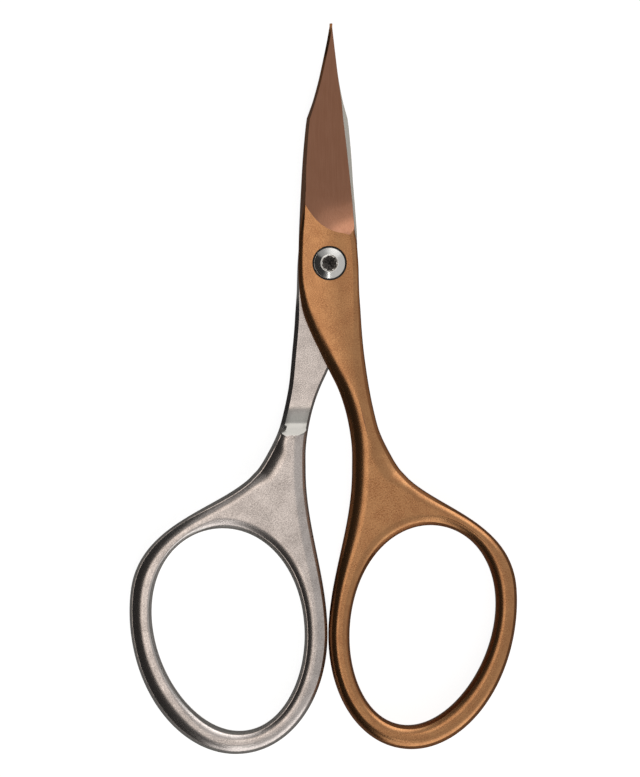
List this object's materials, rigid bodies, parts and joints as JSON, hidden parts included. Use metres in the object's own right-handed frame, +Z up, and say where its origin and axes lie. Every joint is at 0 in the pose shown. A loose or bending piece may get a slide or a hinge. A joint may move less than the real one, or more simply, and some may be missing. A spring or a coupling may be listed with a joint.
{
  "type": "nail scissors",
  "caption": "Slim tower-point nail scissors with oval finger rings and a screw pivot; the upper half is copper-coloured and the lower half bare blasted steel.",
  "frame": {"origin": "the point where the pivot's axis meets the surface that the closed scissors lie on", "axes": "+Y from the pivot to the points, +Z up along the pivot towards the screw's head, +X towards the upper half's ring"},
  "size_m": [0.0477, 0.09, 0.0034],
  "materials": {
    "copper_coated_steel": "blasted matt copper-coloured hard coat over stainless steel; the ground blade face is polished",
    "blasted_steel": "bare stainless steel, blasted satin with a fine grain; the riding ramp is polished",
    "polished_steel": "polished stainless steel",
    "black_polymer": "black slide polymer"
  },
  "bodies": {
    "lower_blade": {"steel_half": "blasted_steel", "pivot_screw": "polished_steel"},
    "upper_blade": {"copper_half": "copper_coated_steel", "slide_bush": "black_polymer"}
  },
  "joints": [
    {"name": "pivot", "type": "hinge", "parent": "lower_blade", "child": "upper_blade", "pos_m": [0, 0, 0], "axis": [0, 0, 1], "range_deg": [0, 150]}
  ]
}
